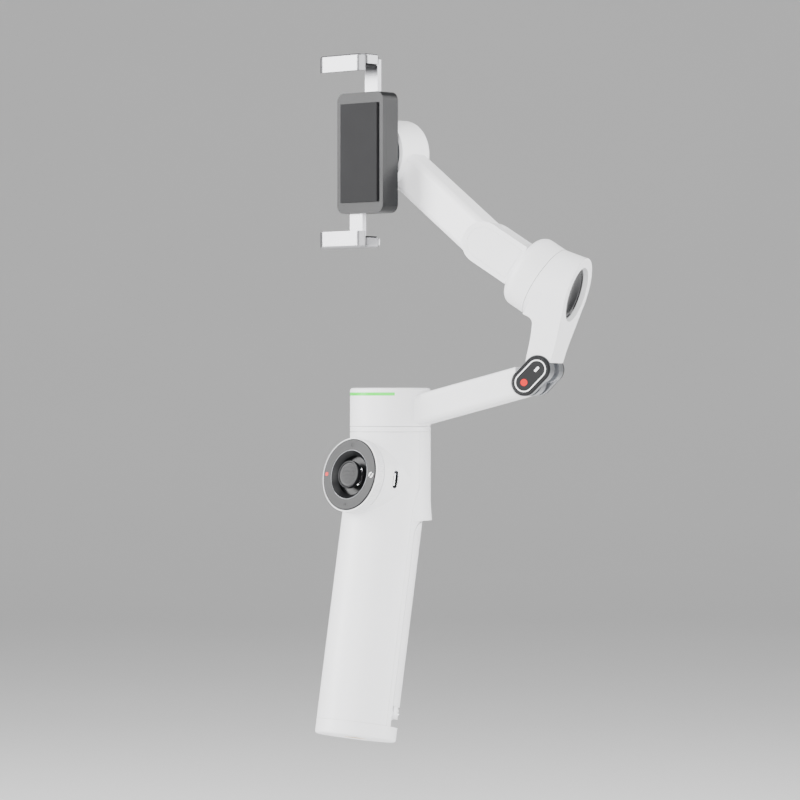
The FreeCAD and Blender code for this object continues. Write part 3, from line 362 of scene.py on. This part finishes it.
def makeWheel():
    r = wheel["radius"] - wheel["ridge"]
    edge = wheel["edge"]
    back, front = wheel["back"], wheel["front"]
    profile = [(wheel["bore"], back), (r - edge, back), (r, back + edge), (r, front - 2 * edge),
               (wheel["radius"] - 0.05, front - 1.3 * edge), (wheel["radius"] - 0.05, front - 0.35),
               (wheel["radius"] - 0.3, front), (wheel["rim"] + 0.12, front), (wheel["rim"], front - 0.15),
               (wheel["rim"], wheel["floor"]), (wheel["bore"], wheel["floor"])]
    piece = lathe("knurledWheel", profile, wheel["ridges"] * 2)
    bpy.ops.object.mode_set(mode="EDIT")
    middle = (back + front - edge) / 2 * mm
    step = math.tau / (wheel["ridges"] * 2)

    def onRidge(centre, normal):
        outside = math.hypot(centre.x, centre.y) > (r - 0.1) * mm
        between = abs(centre.z - middle) < wheel["ridgeWidth"] * mm
        return outside and between and int(round(math.atan2(centre.y, centre.x) / step - 0.5)) % 2 == 0

    selectFaces(piece, onRidge)
    bpy.ops.mesh.inset(thickness=wheel["ridgeInset"] * mm, depth=wheel["ridge"] * mm, use_individual=True)
    bpy.ops.object.mode_set(mode="OBJECT")
    onPod(piece)
    finishPiece(piece, "control_wheel", "white_plastic", ["control_wheel"], 30)


stick = {"radius": 6.3, "back": 23.05, "front": 25.65, "lip": 0.7, "dish": 0.45, "fall": 0.12,
         "dot": 0.2, "pitch": 0.72, "bareEdge": 1.1, "socket": 1.42, "socketDepth": 1.0}


def makeStick():
    r, back, front = stick["radius"], stick["back"], stick["front"]
    inner = r - stick["lip"]
    deep = back + stick["socketDepth"]
    floor = front - stick["dish"]
    profile = [(0, deep), (stick["socket"], deep), (stick["socket"], back), (r - 0.7, back),
               (r - 0.15, back + 0.3), (r, back + 0.8), (r, front - 0.45), (r - 0.12, front - 0.12),
               (r - 0.4, front), (inner + 0.1, front), (inner - 0.35, floor), (inner - 1.6, floor - 0.1),
               (0, floor - stick["fall"])]
    piece = lathe("stickCap", profile, 72, closed=False)
    startPiece()
    bpy.ops.mesh.primitive_ico_sphere_add(subdivisions=1, radius=stick["dot"] * mm)
    first = bpy.context.object  # one raised dot, copied in rows over the dished top
    dots = []
    top = front - stick["dish"] - stick["fall"]
    reach = int(inner / stick["pitch"]) + 1
    for row in range(-reach, reach + 1):
        for column in range(-reach, reach + 1):
            x = (column + 0.5 * (row % 2)) * stick["pitch"]
            y = row * stick["pitch"] * math.sqrt(3) / 2
            if math.hypot(x, y) > inner - stick["bareEdge"]:
                continue
            copy = first.copy()
            copy.data = first.data.copy()
            bpy.context.collection.objects.link(copy)
            copy.location = (x * mm, y * mm, top * mm)
            dots.append(copy)
    bpy.data.objects.remove(first)
    piece = joinPieces("stickCap", [piece] + dots)
    onPod(piece)
    finishPiece(piece, "joystick", "black_plastic", ["joystick_cap"])


icons = {"face": 24.9, "orbit": 13.6, "height": 0.05, "stroke": 0.26, "steps": 14}


def flatDisc(name, radius, x, y, low, high, sides=32):
    startPiece()
    bpy.ops.mesh.primitive_cylinder_add(vertices=sides, radius=radius * mm, depth=(high - low) * mm,
                                        location=(x * mm, y * mm, (low + high) / 2 * mm))
    piece = namePiece(name)
    bpy.ops.object.transform_apply(location=True)
    bevelled(piece, (high - low) * 0.3, 1, 60)
    return piece


def strokeArc(name, radius, start, sweep, x, y):  # a thin raised stroke, spun from a small square
    stroke, high = icons["stroke"], icons["height"]
    startPiece()
    bpy.ops.mesh.primitive_plane_add(size=mm)
    piece = namePiece(name)
    bpy.ops.transform.resize(value=(stroke, high, 1))
    bpy.ops.transform.rotate(value=math.radians(90), orient_axis="X", center_override=(0, 0, 0))
    bpy.ops.object.transform_apply(location=True, rotation=True, scale=True)
    editAll()
    bpy.ops.transform.translate(value=(radius * mm, 0, 0))
    bpy.ops.mesh.spin(steps=icons["steps"], angle=math.radians(sweep), center=(0, 0, 0), axis=(0, 0, 1))
    bpy.ops.mesh.select_all(action="SELECT")
    bpy.ops.mesh.edge_face_add()
    bpy.ops.mesh.remove_doubles(threshold=weld)
    bpy.ops.mesh.normals_make_consistent(inside=False)
    bpy.ops.object.mode_set(mode="OBJECT")
    piece.rotation_euler = (0, 0, math.radians(start))
    piece.location = (x * mm, y * mm, icons["face"] * mm)
    bpy.ops.object.transform_apply(location=True, rotation=True)
    return piece


def strokeBar(name, length, width, angle, x, y, lift=0.0):
    startPiece()
    bpy.ops.mesh.primitive_cube_add(size=mm, location=(x * mm, y * mm, (icons["face"] + lift) * mm),
                                    rotation=(0, 0, math.radians(angle)),
                                    scale=(length, width, icons["height"]))
    piece = namePiece(name)
    bpy.ops.object.transform_apply(location=True, rotation=True, scale=True)
    bevelled(piece, width * 0.2, 1)
    return piece


def arrowHead(name, size, angle, x, y):
    startPiece()
    bpy.ops.mesh.primitive_cylinder_add(vertices=3, radius=size * mm, depth=icons["height"] * mm,
                                        location=(x * mm, y * mm, icons["face"] * mm),
                                        rotation=(0, 0, math.radians(angle)))
    piece = namePiece(name)
    bpy.ops.object.transform_apply(location=True, rotation=True)
    bevelled(piece, 0.012, 1, 60)
    return piece


bead = {"radius": 11.1, "reach": 0.12, "footIn": 0.1, "footOut": 0.08, "back": 24.86, "front": 24.98}
marks = {"length": 1.0, "width": 0.16, "orbit": 9.9, "lift": -1.15, "turns": (0, 90, 180, 270)}


def makeRingRims():  # a bright thin bead round the dish's mouth, and four raised marks in the dish
    r = bead["radius"]
    middle = (bead["back"] + bead["front"]) / 2
    profile = [(r - bead["footIn"], bead["back"]), (r + bead["footOut"], bead["back"]),
               (r + bead["reach"], middle), (r, bead["front"]), (r - bead["reach"], middle)]
    ring = lathe("ringBead", profile, 96)
    onPod(ring)
    finishPiece(ring, "control_ring", "silver_metal")
    bars = []
    for angle in marks["turns"]:
        x = marks["orbit"] * math.cos(math.radians(angle))
        y = marks["orbit"] * math.sin(math.radians(angle))
        bars.append(strokeBar("mark", marks["length"], marks["width"], angle, x, y, marks["lift"]))
    lines = joinPieces("dishMarks", bars)
    onPod(lines)
    finishPiece(lines, "control_ring", "rubber")


record = {"radius": 0.95, "outward": 0.4, "sink": 0.03, "rise": 0.05}
cycle = {"radius": 1.15, "start": 20, "sweep": 130, "head": 0.5, "headTurn": -70}
mode = {"radius": 0.85, "start": 40, "sweep": 280, "barLength": 0.9, "barWidth": 0.22, "barUp": 0.6}
skip = {"barLength": 1.4, "barWidth": 0.26, "barLeft": 0.9, "head": 0.8, "headRight": 0.1}


def makeIcons():
    orbit, face = icons["orbit"], icons["face"]
    dot = flatDisc("recordDot", record["radius"], -orbit - record["outward"], 0,
                   face - record["sink"], face + record["rise"])
    onPod(dot)
    finishPiece(dot, "control_ring", "red_paint")
    turns = [strokeArc("turnA", cycle["radius"], cycle["start"], cycle["sweep"], orbit, 0),
             strokeArc("turnB", cycle["radius"], cycle["start"] + 180, cycle["sweep"], orbit, 0)]
    for side in (0, 180):
        angle = math.radians(side + cycle["start"])
        x = orbit + cycle["radius"] * math.cos(angle)
        y = cycle["radius"] * math.sin(angle)
        turns.append(arrowHead("arrow", cycle["head"], side + cycle["headTurn"], x, y))
    turnIcon = joinPieces("turnIcon", turns)
    onPod(turnIcon)
    finishPiece(turnIcon, "control_ring", "white_paint")
    follow = [strokeArc("modeArc", mode["radius"], mode["start"], mode["sweep"], 0, orbit),
              strokeBar("modeBar", mode["barLength"], mode["barWidth"], 90, 0, orbit + mode["barUp"])]
    skipIcon = [strokeBar("skipBar", skip["barLength"], skip["barWidth"], 90, -skip["barLeft"], -orbit),
                arrowHead("skipArrow", skip["head"], 90, skip["headRight"], -orbit)]
    dark = joinPieces("modeIcons", follow + skipIcon)
    onPod(dark)
    finishPiece(dark, "control_ring", "rubber")


makeWheel()
makeStick()
makeIcons()
makeRingRims()
print("control pod made")


lens = {"radius": 12.1, "depth": 1.4, "lean": 17.5, "armTurn": 25, "rim": 0.9, "edge": 0.15,
        "dish": 0.35, "step": 0.12, "floorFrom": 3.4}


def makeLens():  # the tilt motor's dished back lens, leaning with the upper arm
    r, depth = lens["radius"], lens["depth"]
    floor = depth - lens["dish"]
    inner = r - lens["floorFrom"]
    profile = [(0, 0), (r - 0.1, 0), (r, lens["edge"]), (r, depth - 0.2), (r - 0.25, depth),
               (r - lens["rim"], depth), (r - lens["rim"] - 0.3, floor), (inner, floor),
               (inner - 0.2, floor - lens["step"]), (0, floor - lens["step"])]
    piece = lathe("motorLens", profile, 96, closed=False)
    lean, turn = math.radians(lens["lean"]), math.radians(lens["armTurn"])
    armOut = Vector((math.cos(turn), math.sin(turn), 0))
    armFront = Vector((math.sin(turn), -math.cos(turn), 0))
    backUp = armOut * math.sin(lean) + Vector((0, 0, 1)) * math.cos(lean)
    normal = backUp.cross(armFront)
    low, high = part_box("tilt_cap_disc")
    place(piece, backUp.cross(normal), backUp, (low + high) / 2 - normal * depth / 2 * mm)
    finishPiece(piece, "upper_arm", "black_gloss", ["tilt_cap_disc"])


makeLens()
print("motor lens made")


spring = {"wire": 0.3, "turns": 11, "sides": 10, "steps": 24}


def makeSpring(name, node):  # a still coil filling the spring part's box, in place of the spring
    low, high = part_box(node)
    wire = spring["wire"] * mm
    middle = (low + high) / 2
    startPiece()
    bpy.ops.mesh.primitive_circle_add(vertices=spring["sides"], radius=wire)
    piece = namePiece(name)
    editAll()
    bpy.ops.transform.rotate(value=math.radians(90), orient_axis="X", center_override=(0, 0, 0))
    bpy.ops.transform.translate(value=((high.x - low.x) / 2 - wire, 0, 0))
    bpy.ops.object.mode_set(mode="OBJECT")
    coil = piece.modifiers.new("coil", "SCREW")
    coil.iterations = spring["turns"]
    coil.screw_offset = (high.z - low.z - 2 * wire) / spring["turns"]
    coil.steps = coil.render_steps = spring["steps"]
    bpy.ops.object.modifier_apply(modifier=coil.name)
    editAll()
    bpy.ops.mesh.fill_holes(sides=0)
    bpy.ops.mesh.select_all(action="SELECT")
    bpy.ops.mesh.normals_make_consistent(inside=False)
    bpy.ops.object.mode_set(mode="OBJECT")
    place(piece, right, Vector((0, 1, 0)), Vector((middle.x, middle.y, low.z + wire)))
    smooth(piece, 60)
    piece.data.materials.clear()
    piece.data.materials.append(finishes["bright_steel"])
    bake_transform(piece)
    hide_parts(node)


makeSpring("upperJawCoil", "upper_jaw_spring")
makeSpring("lowerJawCoil", "lower_jaw_spring")
print("jaw springs made")


view = {"azimuth": 43.5, "distance": 1727.0, "height": 152.0, "sideways": 4.4, "lens": 171.0, "sensor": 36}
viewTurn = math.radians(view["azimuth"])
imageRight = Vector((math.cos(viewTurn), math.sin(viewTurn), 0))
away = Vector((-math.sin(viewTurn), math.cos(viewTurn), 0))


def makeCamera():
    spot = Vector(joints["pan"]["pos_m"])
    spot += imageRight * view["sideways"] * mm - away * view["distance"] * mm
    spot.z = view["height"] * mm
    camera = bpy.data.cameras.new("camera")
    camera.lens = view["lens"]
    camera.sensor_width = view["sensor"]
    holder = bpy.data.objects.new("camera", camera)
    holder.location = spot
    holder.rotation_euler = (math.radians(90), 0, viewTurn)
    bpy.context.collection.objects.link(holder)
    bpy.context.scene.camera = holder


lamps = {"sweep": {"azimuth": 223.5, "height": 0.6, "distance": -1.6, "size": (3.0, 1.5), "power": 60},
         "key": {"azimuth": -40, "height": 0.6, "distance": 1.1, "size": (0.5, 1.0), "power": 30},
         "rim": {"azimuth": 135, "height": 0.45, "distance": 0.9, "size": (0.4, 1.2), "power": 13},
         "top": {"azimuth": 60, "height": 1.5, "distance": 0.4, "size": (1.0, 1.0), "power": 9}}
lampAim = Vector((0.02, 0.02, 0.15))


def makeLamp(name, lamp):
    turn = math.radians(lamp["azimuth"])
    spot = Vector((math.sin(turn), -math.cos(turn), 0)) * lamp["distance"]
    spot.z = lamp["height"]
    light = bpy.data.lights.new(name, "AREA")
    light.shape = "RECTANGLE"
    light.size, light.size_y = lamp["size"]
    light.energy = lamp["power"]
    holder = bpy.data.objects.new(name, light)
    holder.location = spot
    holder.rotation_euler = (spot - lampAim).to_track_quat("Z", "Y").to_euler()
    bpy.context.collection.objects.link(holder)


studio = {"width": 6, "floor": -0.12, "bendSteps": 8, "bendStep": 0.5, "wall": 3, "bendFrom": 1,
          "glow": 0.4, "backdrop": 1.6}


def makeFloor():  # a flat floor that bends up into a wall behind the object
    startPiece()
    bpy.ops.mesh.primitive_plane_add(size=studio["width"], location=(0, 0, studio["floor"]))
    floor = namePiece("floor")
    bpy.ops.object.transform_apply(location=True)
    place(floor, imageRight, away, Vector((0, 0, 0)))
    editAll()
    bpy.ops.mesh.select_all(action="DESELECT")
    mesh = bmesh.from_edit_mesh(floor.data)
    for vert in mesh.verts:
        vert.select = vert.co.dot(away) > studio["bendFrom"]
    mesh.select_flush_mode()
    bmesh.update_edit_mesh(floor.data)
    for step in range(studio["bendSteps"]):
        lean = math.radians((step + 0.5) * 90 / studio["bendSteps"])
        move = away * math.cos(lean) + Vector((0, 0, math.sin(lean)))
        bpy.ops.mesh.extrude_region_move(TRANSFORM_OT_translate={"value": move * studio["bendStep"]})
    bpy.ops.mesh.extrude_region_move(TRANSFORM_OT_translate={"value": (0, 0, studio["wall"])})
    bpy.ops.object.mode_set(mode="OBJECT")
    smooth(floor, 60)
    finish = Finish("paleFloor", Roughness=0.9)
    finish.feed("Base Color", finish.blend(finish.noise(3, 2), (0.93, 0.93, 0.93), (0.97, 0.97, 0.97)))
    floor.data.materials.append(finish.material)


def makeWorld():  # a soft white glow, which the camera sees brighter
    world = bpy.data.worlds.new("studio")
    world.use_nodes = True
    nodes, links = world.node_tree.nodes, world.node_tree.links
    backdrop = nodes["Background"]
    backdrop.inputs["Color"].default_value = (1, 1, 1, 1)
    strength = nodes.new("ShaderNodeMapRange")
    strength.inputs["To Min"].default_value = studio["glow"]
    strength.inputs["To Max"].default_value = studio["backdrop"]
    links.new(nodes.new("ShaderNodeLightPath").outputs["Is Camera Ray"], strength.inputs["Value"])
    links.new(strength.outputs["Result"], backdrop.inputs["Strength"])
    bpy.context.scene.world = world


makeCamera()
makeFloor()
makeWorld()
for name, lamp in lamps.items():
    makeLamp(name, lamp)
print("studio made")
